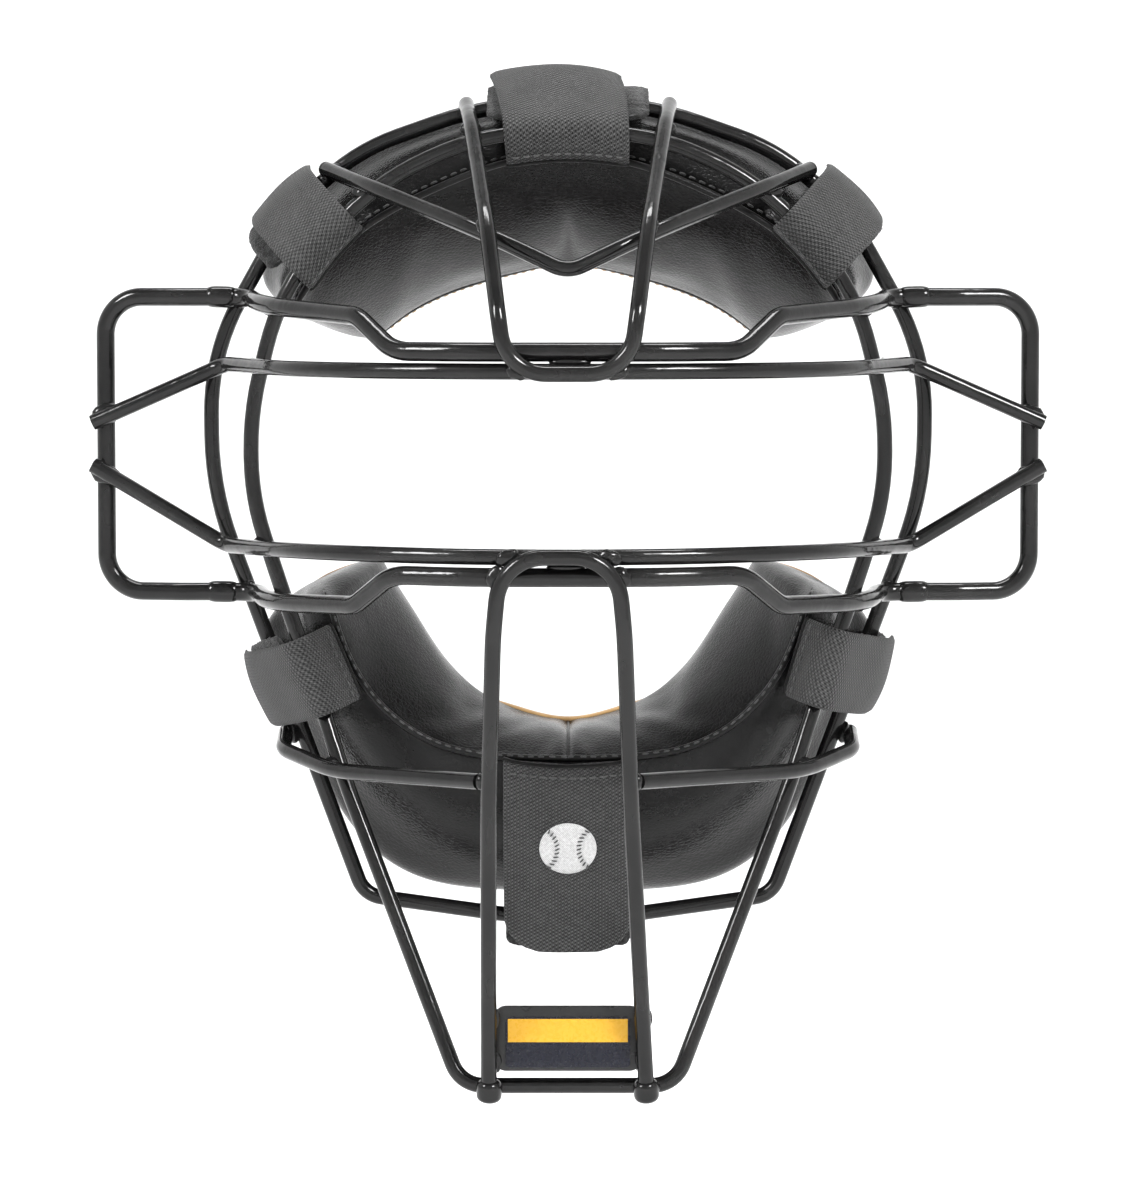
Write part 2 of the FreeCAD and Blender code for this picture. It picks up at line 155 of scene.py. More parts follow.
def lengths_along(path):
    """Length of a polyline from its start to each of its points."""
    return np.concatenate([[0], np.cumsum(np.linalg.norm(np.diff(path, axis=0), axis=1))])


def evened(dense, count):
    """Points spread at equal lengths along a polyline."""
    length = lengths_along(dense)
    want = np.linspace(0, length[-1], count)
    return np.stack([np.interp(want, length, dense[:, k]) for k in range(dense.shape[1])], -1)


def softened(values, width, passes=3):
    """Rows averaged with their neighbours a few times, with the ends held."""
    out = np.array(values, float)
    for _ in range(passes):
        before = 2 * out[:1] - out[1:width + 1][::-1]
        after = 2 * out[-1:] - out[-width - 1:-1][::-1]
        padded = np.concatenate([before, out, after])
        out = sum(padded[k:k + len(out)] for k in range(2 * width + 1)) / (2 * width + 1)
    return out


def step_up(x, low, high):
    """Smooth rise from 0 at low to 1 at high."""
    t = np.clip((x - low) / (high - low), 0, 1)
    return t * t * (3 - 2 * t)


# ---------------------------------------------------------------- materials

class Finish:
    """A material's nodes, with short ways to add the ones used here."""

    def __init__(self, name, **sockets):
        self.material = bpy.data.materials.new(name)
        self.material.use_nodes = True
        self.nodes = self.material.node_tree.nodes
        self.links = self.material.node_tree.links
        self.shader = self.nodes["Principled BSDF"]
        for socket, value in sockets.items():
            self.shader.inputs[socket.replace("_", " ")].default_value = value
        self.height = None

    def node(self, kind, settings=(), **inputs):
        made = self.nodes.new(kind)
        for key, value in dict(settings).items():
            setattr(made, key, value)
        for key, value in inputs.items():
            self.put(made.inputs[key.replace("_", " ")], value)
        return made

    def put(self, socket, value):
        if isinstance(value, bpy.types.NodeSocket):
            self.links.new(value, socket)
        else:
            socket.default_value = value

    def math(self, operation, a, b=0.0, c=0.0):
        made = self.nodes.new("ShaderNodeMath")
        made.operation = operation
        for socket, value in zip(made.inputs, (a, b, c)):
            self.put(socket, value)
        return made.outputs[0]

    def place(self):
        return self.node("ShaderNodeTexCoord").outputs["Object"]

    def lay(self):
        found = self.node("ShaderNodeAttribute", {"attribute_name": "lay"})
        return found.outputs["Vector"]

    def axes(self, vector):
        parts = self.node("ShaderNodeSeparateXYZ", Vector=vector)
        return parts.outputs[0], parts.outputs[1], parts.outputs[2]

    def noise(self, vector, scale, detail=2.0, roughness=0.5, distortion=0.0):
        return self.node(
            "ShaderNodeTexNoise", Vector=vector, Scale=scale, Detail=detail, Roughness=roughness,
            Distortion=distortion,
        ).outputs["Fac"]

    def spread(self, value, low, high, out_low, out_high):
        made = self.nodes.new("ShaderNodeMapRange")
        for socket, number in zip(made.inputs, (value, low, high, out_low, out_high)):
            self.put(socket, number)
        return made.outputs[0]

    def blend(self, factor, first, second):
        made = self.nodes.new("ShaderNodeMix")
        made.data_type = "RGBA"
        self.put(made.inputs["Factor"], factor)
        for socket, colour in zip([s for s in made.inputs if s.type == "RGBA"], (first, second)):
            self.put(socket, colour)
        return [s for s in made.outputs if s.type == "RGBA"][0]

    def bump(self, height, distance, strength=1.0):
        made = self.node("ShaderNodeBump", Height=height, Distance=distance, Strength=strength)
        if self.height is not None:
            self.links.new(self.height, made.inputs["Normal"])
        self.height = made.outputs["Normal"]
        self.put(self.shader.inputs["Normal"], self.height)

    def colour(self, value):
        self.put(self.shader.inputs["Base Color"], value)

    def roughness(self, value):
        self.put(self.shader.inputs["Roughness"], value)


def grey(value, tint=0.0):
    """Near-neutral colour, a little warmer with a positive tint."""
    return (value * (1 + tint), value, value * (1 - tint), 1.0)


def coated_wire_finish():
    """Thick gloss black powder coat: orange peel, slow runs along the wire and faint dust."""
    f = Finish("coated_wire", Coat_Weight=0.08, Coat_Roughness=0.04, Specular_IOR_Level=0.2)
    at = f.place()
    cloud = f.noise(at, 38.0, 3.0, 0.6)
    f.colour(f.blend(f.spread(cloud, 0.35, 0.7, 0.0, 1.0), grey(0.003), grey(0.009, 0.02)))
    f.roughness(f.spread(f.noise(at, 120.0, 3.0, 0.6), 0.3, 0.7, 0.09, 0.2))
    f.bump(f.noise(at, 60.0, 2.0, 0.5, 0.6), 0.0012, 0.35)
    f.bump(f.noise(at, 420.0, 2.0), 0.00016, 0.35)
    return f.material


def plate_finish():
    """Satin black powder coat on flat steel."""
    f = Finish("coated_plate", Coat_Weight=0.1, Coat_Roughness=0.2, Specular_IOR_Level=0.3)
    at = f.place()
    f.colour(f.blend(f.noise(at, 60.0, 4.0), grey(0.007), grey(0.012)))
    f.roughness(f.spread(f.noise(at, 300.0, 3.0), 0.3, 0.7, 0.26, 0.36))
    f.bump(f.noise(at, 500.0, 2.0), 0.00006, 0.3)
    return f.material


def label_finish():
    """Printed film: a gold band over a black one, with a thin black rule round the gold."""
    f = Finish("label_print", Coat_Weight=0.15, Coat_Roughness=0.08, Specular_IOR_Level=0.25)
    across, up, _ = f.axes(f.lay())
    upper = f.math("GREATER_THAN", up, 0.0)
    narrow = f.math("LESS_THAN", f.math("ABSOLUTE", across), 0.0161)
    inside = f.math("MULTIPLY", narrow, f.math("LESS_THAN", up, 0.0062))
    speck = f.noise(f.place(), 900.0, 3.0)
    gold = f.blend(speck, (0.38, 0.20, 0.012, 1), (0.47, 0.26, 0.02, 1))
    f.colour(f.blend(f.math("MULTIPLY", upper, inside), (0.003, 0.0035, 0.008, 1), gold))
    f.roughness(f.spread(speck, 0.3, 0.7, 0.22, 0.34))
    f.bump(f.noise(f.place(), 1500.0, 1.0), 0.00003, 0.5)
    return f.material


def leather_finish(name="pad_leather", dark=0.0025, light=0.006, rough=(0.19, 0.28), coat=0.0):
    """Smooth black leather: pebbled grain, fine creases, and polish that comes and goes."""
    f = Finish(name, Coat_Weight=coat, Coat_Roughness=0.14, IOR=1.22, Specular_IOR_Level=0.5)
    at = f.place()
    slow = f.noise(at, 24.0, 4.0, 0.55)
    f.colour(f.blend(f.spread(slow, 0.3, 0.7, 0.0, 1.0), grey(dark), grey(light, 0.015)))
    f.roughness(f.spread(f.noise(at, 46.0, 3.0, 0.6), 0.3, 0.7, *rough))
    cells = f.node("ShaderNodeTexVoronoi", {"feature": "DISTANCE_TO_EDGE"}, Vector=at, Scale=760.0)
    f.bump(f.noise(at, 105.0, 4.0, 0.6, 1.2), 0.0006, 0.17)
    f.bump(f.spread(cells.outputs["Distance"], 0.0, 0.22, 0.0, 1.0), 0.0001, 0.35)
    return f.material


def suede_finish(name, dark, light):
    """Napped suede: short blotches, soft sheen and a fine nap."""
    f = Finish(name, Sheen_Weight=0.5, Sheen_Roughness=0.5, Specular_IOR_Level=0.2)
    at = f.place()
    f.colour(f.blend(f.spread(f.noise(at, 70.0, 5.0, 0.65), 0.3, 0.7, 0.0, 1.0), dark, light))
    f.roughness(f.spread(f.noise(at, 200.0, 2.0), 0.3, 0.7, 0.78, 0.95))
    f.bump(f.noise(at, 1400.0, 3.0, 0.7), 0.0003, 0.6)
    f.bump(f.noise(at, 150.0, 3.0), 0.0008, 0.3)
    return f.material


def webbing_finish(name, dark, light, pitch=0.00088, slant=0.55):
    """Woven tape: rows of short slanted threads with a plain edge, worked out from length and width."""
    f = Finish(name, Sheen_Weight=0.06, Sheen_Roughness=0.4, Specular_IOR_Level=0.2)
    along, across, _ = f.axes(f.lay())
    row = f.math("SINE", f.math("MULTIPLY", across, TAU / pitch))
    lean = f.math("MULTIPLY", across, slant)
    tick = f.math("SINE", f.math("MULTIPLY", f.math("ADD", along, lean), TAU / (pitch * 1.25)))
    cross = f.math("MULTIPLY", row, tick)
    height = f.math("ADD", f.math("MULTIPLY", cross, 0.6), f.math("MULTIPLY", tick, 0.4))
    fuzz = f.noise(f.place(), 900.0, 3.0, 0.7)
    wear = f.noise(f.place(), 60.0, 3.0, 0.6)
    tone = f.math("ADD", f.math("MULTIPLY", height, 0.5), f.math("MULTIPLY", fuzz, 0.7))
    tone = f.math("ADD", tone, f.math("MULTIPLY", wear, 0.35))
    f.colour(f.blend(f.spread(tone, 0.25, 1.15, 0.0, 1.0), dark, light))
    f.roughness(f.spread(fuzz, 0.3, 0.7, 0.62, 0.85))
    f.bump(height, 0.0005, 0.8)
    f.bump(fuzz, 0.0003, 0.35)
    return f.material


def pile_finish():
    """Loop pile: a dense fuzz of tiny loops."""
    f = Finish("loop_pile", Sheen_Weight=0.2, Sheen_Roughness=0.35, Specular_IOR_Level=0.15)
    at = f.place()
    tufts = f.noise(at, 1100.0, 4.0, 0.75)
    f.colour(f.blend(f.spread(tufts, 0.35, 0.7, 0.0, 1.0), grey(0.004), grey(0.035)))
    f.roughness(f.spread(tufts, 0.3, 0.7, 0.8, 0.98))
    f.bump(tufts, 0.0009, 0.9)
    return f.material


def thread_finish(name, colour, lighter):
    """Twisted sewing thread."""
    f = Finish(name, Sheen_Weight=0.2, Specular_IOR_Level=0.5)
    at = f.place()
    twist = f.noise(at, 2600.0, 2.0)
    f.colour(f.blend(twist, colour, lighter))
    f.roughness(f.spread(twist, 0.3, 0.7, 0.4, 0.6))
    f.bump(twist, 0.00012, 0.6)
    return f.material


def embroidery_finish():
    """Satin stitch in white thread, with rows of threads along one direction."""
    f = Finish("emblem_thread", Sheen_Weight=0.3, Specular_IOR_Level=0.45)
    _, across, _ = f.axes(f.lay())
    rows = f.math("SINE", f.math("MULTIPLY", across, TAU / 0.00042))
    fuzz = f.noise(f.place(), 1500.0, 2.0)
    tone = f.math("ADD", f.math("MULTIPLY", rows, 0.25), fuzz)
    f.colour(f.blend(f.spread(tone, 0.2, 0.9, 0.0, 1.0), grey(0.3), grey(0.62)))
    f.roughness(f.spread(fuzz, 0.3, 0.7, 0.5, 0.7))
    f.bump(rows, 0.00015, 0.7)
    return f.material


def studio_finish(value):
    """Matt pale surface with a barely uneven tone."""
    f = Finish("studio_surface", Specular_IOR_Level=0.0, Roughness=1.0)
    f.colour(f.blend(f.noise(f.place(), 1.5, 2.0), grey(value * 0.99), grey(value)))
    return f.material


WIRE = coated_wire_finish()
PLATE = plate_finish()
LABEL = label_finish()
LEATHER = leather_finish()
EDGE_LEATHER = leather_finish("edge_leather", 0.002, 0.006, (0.28, 0.38))
TAN_EDGE = suede_finish("tan_edge", (0.19, 0.11, 0.04, 1), (0.36, 0.22, 0.085, 1))
LINING = suede_finish("pad_lining", (0.20, 0.12, 0.06, 1), (0.36, 0.23, 0.12, 1))
WEBBING = webbing_finish("webbing", grey(0.0035), grey(0.086))
PILE = pile_finish()
THREAD = thread_finish("black_thread", grey(0.003), grey(0.011))
TAN_THREAD = thread_finish("tan_thread", (0.28, 0.17, 0.07, 1), (0.5, 0.33, 0.16, 1))
SEAM_THREAD = thread_finish("seam_thread", grey(0.009), grey(0.028))
EMBROIDERY = embroidery_finish()


def dress(piece, material, body="cage", replaces=()):
    """Give a piece its material, the body it rides on and the nodes it stands for."""
    piece.data.materials.append(material)
    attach(piece, body)
    if replaces:
        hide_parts(*replaces)
    return piece


# ---------------------------------------------------------------- wire

WIRES = (
    "rear_hoop", "front_hoop", "top_u_bar", "brow_v_bar", "upper_visor_bar", "lower_visor_bar",
    "upper_sight_bar", "lower_sight_bar", "lower_u_bar", "right_ear_guard", "left_ear_guard",
    "right_cheek_bar", "left_cheek_bar",
)

# Where two wires are welded on the right side, in mm: middle, the way across the gap between the
# wires, the way along the bead, and half sizes along the bead, sideways and across the gap.
WELDS = (
    ((65.5, -2.2, 78.8), (0.1, 1, 0), (1, 0, -0.3), (3.2, 2.4, 1.7)),
    ((92.0, -2.2, 43.8), (0, 1, 0), (0.7, 0, 0.7), (3.4, 2.5, 1.7)),
    ((90.1, -2.2, -37.9), (0, 1, 0), (0.7, 0, -0.7), (3.4, 2.5, 1.7)),
    ((77.3, 0.1, -77.9), (1, 0.1, -0.2), (0, 0.5, 1), (3.4, 2.5, 1.7)),
    ((56.2, -22.3, 73.6), (-0.3, 0.6, -0.7), (1, 0, -0.4), (3.2, 2.2, 1.7)),
    ((81.4, -22.8, 41.4), (0.4, 1, 0.1), (0.8, -0.3, 0.5), (3.4, 2.5, 1.8)),
    ((79.5, -25.1, -39.1), (0.4, 1, -0.1), (0.8, -0.3, -0.5), (3.4, 2.5, 1.8)),
    ((86.4, -22.0, 25.2), (1, 0.5, 0), (0.4, -1, 0.5), (2.9, 2.2, 1.6)),
    ((85.1, -23.7, -23.8), (1, 0.5, 0), (0.4, -1, -0.5), (2.9, 2.2, 1.6)),
    ((21.2, -62.1, -168.1), (0, 1, 0.1), (1, 0, 0), (3.4, 2.9, 2.4)),
    ((64.3, -34.4, -83.8), (0.4, 1, -0.2), (0.8, -0.5, 0.4), (3.2, 2.3, 1.8)),
    ((15.4, -90.1, 30.1), (0, 1, 0), (0.6, 0, 0.8), (3.2, 2.4, 1.6)),
    ((13.2, -90.2, 24.9), (0, 1, 0), (1, 0, 0.4), (3.2, 1.9, 1.4)),
    ((129.2, -2.9, 11.4), (0, 1, 0), (1, 0, -0.35), (4.2, 2.9, 1.9)),
    ((129.2, -2.9, -5.3), (0, 1, 0), (1, 0, 0.35), (4.2, 2.9, 1.9)),
    ((28.0, -2.2, 96.4), (0.1, 0.5, -1), (0.2, 1, 0.3), (3.0, 2.4, 1.8)),
    ((26.6, -24.0, 90.2), (0.2, 1, -0.6), (1, 0, 0), (3.0, 2.0, 1.8)),
    ((21.6, -68.4, 62.5), (0, 1, -0.2), (0.7, 0, 0.7), (3.0, 2.2, 1.9)),
    ((20.0, -64.9, -160.5), (0, 1, 0.2), (0, 0, 1), (3.6, 2.2, 1.0)),
    ((20.3, -66.4, -148.5), (0, 1, 0.2), (0, 0, 1), (3.6, 2.2, 1.0)),
)
# The same, where the lower U bar's top is off the middle by U_ASKEW.
U_ASKEW = -2.3
U_WELDS = (
    ((16.3, -89.9, -28.4), (0, 1, 0), (0.6, 0, -0.8), (3.2, 2.4, 1.6)),
    ((13.4, -90.2, -23.3), (0, 1, 0), (1, 0, -0.4), (3.2, 1.9, 1.4)),
    ((20.5, -78.4, -83.4), (1, 0.3, 0), (0, -0.2, 1), (2.3, 2.1, 1.7)),
)
MIDDLE_WELDS = (
    ((0.5, -88.0, 27.6), (0, 0, 1), (1, 0, 0), (6.0, 1.5, 1.2)),
    ((-0.6, -88.0, -26.0), (0, 0, 1), (1, 0, 0), (5.0, 1.5, 1.2)),
)
# Collars and rounded ends on the right side: middle, direction, half length, radius.
COLLARS = (
    ((96.5, -4.6, 44.2), (1, 0, 0.02), 5.2, 3.05),
    ((96.5, -4.6, -38.0), (1, 0, 0.02), 5.2, 3.05),
    ((21.1, -64.1, -168.4), (0.05, 0.2, -1), 3.4, 3.5),
    ((131.4, -4.6, 9.8), (1, 0, -0.4), 1.7, 2.17),
    ((131.4, -4.6, -3.2), (1, 0, 0.4), 1.7, 2.17),
    ((79.4, 2.8, -78.2), (0, 1, 0.1), 1.3, 2.17),
    ((28.2, -3.4, 97.5), (0, 1, 0.28), 1.2, 2.17),
    ((67.2, -3.5, 79.6), (0.45, 1, 0.2), 1.1, 2.17),
)


def both_hands(entries, vectors):
    """The entries as listed, then mirrored: their first values, as many as vectors, change the sign of X."""
    def mirror(value):
        return (-value[0],) + tuple(value[1:])
    return list(entries) + [tuple(map(mirror, e[:vectors])) + tuple(e[vectors:]) for e in entries]


def wire_welds():
    """Lumpy ellipsoids at the crossings: a unit ball scaled along the bead, sideways and across the gap."""
    ball = ball_grid(13, 18)
    lump = 1 + 0.09 * np.sin(5 * ball[..., :1] + 2) * np.cos(4 * ball[..., 1:2] + 1)
    frames, centres = [], []
    askew = [((m[0] + U_ASKEW,) + tuple(m[1:]),) + tuple(rest) for m, *rest in both_hands(U_WELDS, 3)]
    for middle, gap, along, half in both_hands(WELDS, 3) + list(MIDDLE_WELDS) + askew:
        n = unit(np.array(gap, float))
        a = np.array(along, float)
        a = unit(a - n * (a @ n))
        b = np.cross(n, a)
        sizes = np.array(half) * (1 + rng.uniform(-0.08, 0.1, 3))
        frames.append(np.stack([a * sizes[0], b * sizes[1], n * sizes[2]], 1) * MM)
        centres.append(np.array(middle) * MM)
    piece = copies("wire_welds", capped(ball * lump), np.array(frames), np.array(centres))
    dress(piece, WIRE)


def wire_collars():
    """Swollen butt welds and rounded wire ends: a spindle whose radius falls smoothly to both ends."""
    t = np.linspace(-1, 1, 17)
    form = turned(np.sqrt(np.clip(1 - t ** 4, 0, 1)) * 0.999 + 0.001, t, 24)
    frames, centres = [], []
    for middle, along, half, radius in both_hands(COLLARS, 2):
        w = unit(np.array(along, float))
        u = unit(np.cross(w, (0.3, 0.1, 1.0)))
        v = np.cross(w, u)
        frames.append(np.stack([u * radius, v * radius, w * half], 1) * MM)
        centres.append(np.array(middle) * MM)
    piece = copies("wire_collars", capped(form), np.array(frames), np.array(centres))
    dress(piece, WIRE)


# ---------------------------------------------------------------- nameplate

PLATE_MIDDLE = np.array((0.0, -63.3, -154.3)) * MM
PLATE_TILT = math.radians(-10.6)


def rounded_slab(name, width, height, depth, corner, edge, forward, drop, sweep=64):
    """Slab with rounded corners: outlines of a rounded rectangle drawn in along a quarter circle at each
    face, then down to the middle of the face; it is tilted about X and put on the legs of the U bar."""
    turn = np.linspace(0, TAU, sweep, endpoint=False) + TAU / sweep / 2
    quarter = np.stack([np.sign(np.cos(turn)), np.sign(np.sin(turn))], -1)

    def outline(shrink):
        radius = max(corner - shrink, 0.05)
        core = np.array([width / 2 - corner, height / 2 - corner])
        return quarter * np.maximum(core, 0) + np.stack([np.cos(turn), np.sin(turn)], -1) * radius

    arc = np.linspace(0, math.pi / 2, 5)
    half = depth / 2
    drawn, sunk = edge * (1 - np.sin(arc)), edge * (1 - np.cos(arc))
    shrinks = [edge, edge, *drawn, *sunk, edge, edge]
    scales = [0.3, 0.7] + [1] * 2 * len(arc) + [0.7, 0.3]
    depths = [-half, -half, *(sunk - half), *(half - drawn), half, half]
    flat = np.array([
        np.column_stack([outline(shrink) * scale, np.full(sweep, d)])
        for shrink, scale, d in zip(shrinks, scales, depths)
    ]) * MM
    x, z, y = flat[..., 0], flat[..., 1] - drop * MM, flat[..., 2] + forward * MM
    c, s = math.cos(PLATE_TILT), math.sin(PLATE_TILT)
    placed = np.stack([x, y * c - z * s, y * s + z * c], -1) + PLATE_MIDDLE
    return closed_loft(name, placed, flat)


def nameplate():
    """Plate with a softly rounded edge, and the film on its front."""
    plate = rounded_slab("nameplate_shell", 40.0, 17.6, 1.2, 3.5, 0.5, 0.0, 0.0)
    dress(plate, PLATE, replaces=("nameplate",))
    film = rounded_slab("nameplate_film", 33.4, 13.6, 0.4, 1.0, 0.12, -0.78, 1.1)
    dress(film, LABEL, replaces=("nameplate_label",))


# ---------------------------------------------------------------- pads

SEAM_Y = -18.5
# Angle from the pad's middle, then distances from the origin: inner edge, front seam, wall inside the
# rear hoop, widest line; and Y of the face side. All in degrees and mm.
BROW_ROWS = (
    (0, 54.0, 83.2, 95.8, 100.0, 27), (14, 53.0, 82.8, 96.0, 100.5, 28), (27, 54.0, 82.0, 97.8, 102.5, 29),
    (39, 57.0, 84.0, 99.4, 104.0, 31), (50, 60.5, 86.0, 99.2, 103.0, 33), (59.5, 63.5, 86.0, 98.0, 100.5, 35),
)
CHIN_ROWS = (
    (0, 77.0, 83.4, 117.0, 124.6, 27), (12, 75.0, 84.5, 118.5, 126.4, 27), (23, 72.0, 87.5, 121.0, 129.5, 28),
    (33, 68.0, 87.5, 113.5, 122.0, 30), (43, 63.5, 85.6, 102.5, 109.5, 33), (53, 62.0, 80.8, 96.0, 103.0, 35),
    (61.5, 61.5, 77.0, 92.0, 99.5, 35),
)
INNER_COUNT, OUTER_COUNT, BACK_COUNT = 24, 26, 15
SEAM_COLUMN = INNER_COUNT - 1
CAP_ROWS = 9
BODY_ROWS = 92


def even_rows(rows, count):
    """Section numbers at equal angles from end to end of a pad, mirrored about its middle and smoothed."""
    table = np.array(rows, float)
    even = np.linspace(-1, 1, count)
    angles = table[-1, 0] * (0.45 * even + 0.55 * even * np.abs(even))
    found = np.stack([np.interp(np.abs(angles), table[:, 0], table[:, k]) for k in range(1, 6)], -1)
    return angles, softened(found, 3)


def section(numbers, puff, edge, roll):
    """Closed outline of a pad in (distance, Y): inner panel, outer wall and face side, each a smooth curve.
    puff moves the inner panel's middle towards the opening; edge is how far its rear edge is set back;
    roll is how far forward the outer wall swells just outside the seam."""
    inner, seam, wall, bulge, face_y = numbers
    shoulder = seam + 0.55 * (wall - seam)
    mid_s, mid_y = (inner + seam) / 2, (face_y - 6 + SEAM_Y) / 2
    steep = unit(np.array([seam - inner, SEAM_Y - face_y + 6]))
    push = np.array([steep[1], -steep[0]]) * puff
    inside = curve_through([
        (inner + edge, face_y), (inner + 0.3, face_y - 5.0),
        (mid_s + push[0], mid_y + push[1]), (seam, SEAM_Y),
    ], INNER_COUNT)
    outside = curve_through([
        (seam, SEAM_Y), (seam + 0.3 * (wall - seam), -14.1 - roll), (shoulder, -10.5 - 0.4 * roll),
        (wall - 0.4, 4.0), (bulge, 14.0), (bulge - 2.0, face_y - 5.0),
        (bulge - 8.0, face_y),
    ], OUTER_COUNT)
    back = np.linspace(outside[-1], inside[0], BACK_COUNT)
    return np.vstack([inside, outside[1:], back[1:-1]])


def on_rays(outlines, angles, down):
    """Outlines in (distance, Y) set on rays from the origin, at angles from straight up or straight down."""
    tilt = np.radians(angles)[:, None]
    rise = -np.cos(tilt) if down else np.cos(tilt)
    s, y = outlines[..., 0], outlines[..., 1]
    return np.stack([s * np.sin(tilt), y, s * rise], -1) * MM


def round_ends(outlines, angles, middles, count, least, swing):
    """Outlines and angles with a rounded end added at both sides: count more sections that shrink towards
    a middle as a quarter circle, down to a least size, while the ray swings on."""
    cap = np.linspace(0, math.pi / 2, count + 1)[1:]
    shrink = np.maximum(np.cos(cap), least)[:, None, None]
    first, last = (m + (one - m)[None] * shrink for one, m in zip((outlines[0], outlines[-1]), middles))
    extra = swing * np.sin(cap)
    angles = np.concatenate([angles[0] - extra[::-1], angles, angles[-1] + extra])
    return np.vstack([first[::-1], outlines, last]), angles


def pad_rings(rows, down):
    """Grid of points on a pad: its sections, with rounded ends, on rays from the origin."""
    angles, numbers = even_rows(rows, BODY_ROWS)
    edges = 0.4 + 2.6 * step_up(np.abs(angles), 11.0, 24.0) if down else np.full(len(angles), 0.3)
    outlines = np.array([section(n, 1.2, edge, 1.9 if down else 0.4) for n, edge in zip(numbers, edges)])
    reach = angles[-1] - (2.6 if down else 0.9)
    middles = [outlines[k].mean(0) for k in (0, -1)]
    return on_rays(*round_ends(outlines, angles * reach / angles[-1], middles, CAP_ROWS, 0.04, 4.2), down)


def pinned_rows(rings):
    """Weight of the pin on each point: the seam, the face side and the tips of the ends stay put."""
    rows, cols = rings.shape[:2]
    weight = np.zeros((rows, cols))
    weight[:, SEAM_COLUMN] = 1.0
    weight[:, 0] = 1.0
    weight[:, INNER_COUNT + OUTER_COUNT - 2:] = 1.0
    weight[:3] = 1.0
    weight[-3:] = 1.0
    return weight


SIM_SCALE = 6.0
SIM_FRAMES = 20
CLOTH = dict(
    quality=7, mass=0.4, tension_stiffness=25, compression_stiffness=25, shear_stiffness=12,
    bending_stiffness=1.2, tension_damping=12, compression_damping=12, shear_damping=12, air_damping=4,
    use_pressure=True, vertex_group_mass="sewn", pin_stiffness=1.0,
)
PRESSURE = 3.2
GROWTH = 0.008          # how much longer the leather grows while it is blown out
SWELL_CAP = 2.8         # furthest that it may go, in mm
WIRE_RADIUS = 2.15
WIRE_ROOM = 0.25        # leather to wire


def swell(rings, name, pressure, growth, cap_mm):
    """Blow the leather out between its sewn edges with a cloth simulation, then limit how far it went."""
    scene = bpy.context.scene
    soft = closed_loft(name + "_blown", rings * SIM_SCALE)
    weight = pinned_rows(rings).ravel()
    group = soft.vertex_groups.new(name="sewn")
    sewn = np.flatnonzero(weight == 1.0).tolist() + [len(weight), len(weight) + 1]
    group.add(sewn, 1.0, "REPLACE")
    cloth = soft.modifiers.new("Cloth", "CLOTH")
    for setting, value in CLOTH.items():
        setattr(cloth.settings, setting, value)
    cloth.settings.uniform_pressure_force = pressure
    cloth.settings.shrink_min = -growth
    cloth.settings.effector_weights.gravity = 0
    cloth.collision_settings.use_collision = False
    cloth.point_cache.frame_start, cloth.point_cache.frame_end = 1, SIM_FRAMES
    for frame_number in range(1, SIM_FRAMES + 1):
        scene.frame_set(frame_number)
    made = soft.evaluated_get(bpy.context.evaluated_depsgraph_get())
    flat = np.empty(len(made.data.vertices) * 3)
    made.data.vertices.foreach_get("co", flat)
    blown = flat.reshape(-1, 3)[:-2].reshape(rings.shape) / SIM_SCALE
    old = soft.data
    bpy.data.objects.remove(soft)
    bpy.data.meshes.remove(old)
    scene.frame_set(1)
    moved = blown - rings
    slack = 1 - pinned_rows(rings)[..., None]
    for _ in range(3):
        moved = (np.roll(moved, 1, 1) + 2 * moved + np.roll(moved, -1, 1)) / 4 * slack
        moved = softened(moved, 1, 1) * slack
    size = np.linalg.norm(moved, axis=-1, keepdims=True)
    cap = cap_mm * MM
    return rings + moved * np.minimum(1, cap * np.tanh(size / cap) / np.maximum(size, 1e-9))


def ring_normals(rings):
    """Outward direction at each point of a closed loft, from the crossing of its two neighbour directions."""
    down = np.gradient(rings, axis=0)
    round_ = np.roll(rings, -1, axis=1) - np.roll(rings, 1, axis=1)
    n = unit(np.cross(down, round_))
    middle = rings.mean(axis=1, keepdims=True)
    flip = np.sign(((rings - middle) * n).sum(-1).mean())
    return n * flip


def press_clear(rings, lines, radius, room):
    """Push the leather off the wires: a point nearer a wire's middle line than its radius plus a little
    room moves inwards by what is missing, and the dent fades out over a few mm."""
    out = rings.copy()
    n = ring_normals(rings)
    for line in lines:
        dense = evened(line, 500)
        gap = np.linalg.norm(out[:, :, None, :] - dense[None, None], axis=-1).min(-1)
        need = (radius + room) * MM - gap
        depth = np.where(need > -2.5 * MM, (need + 2.5 * MM) ** 2 / (5 * MM), 0)
        depth = np.where(need > 2.5 * MM, need, depth)
        out -= n * depth[..., None]
    return out


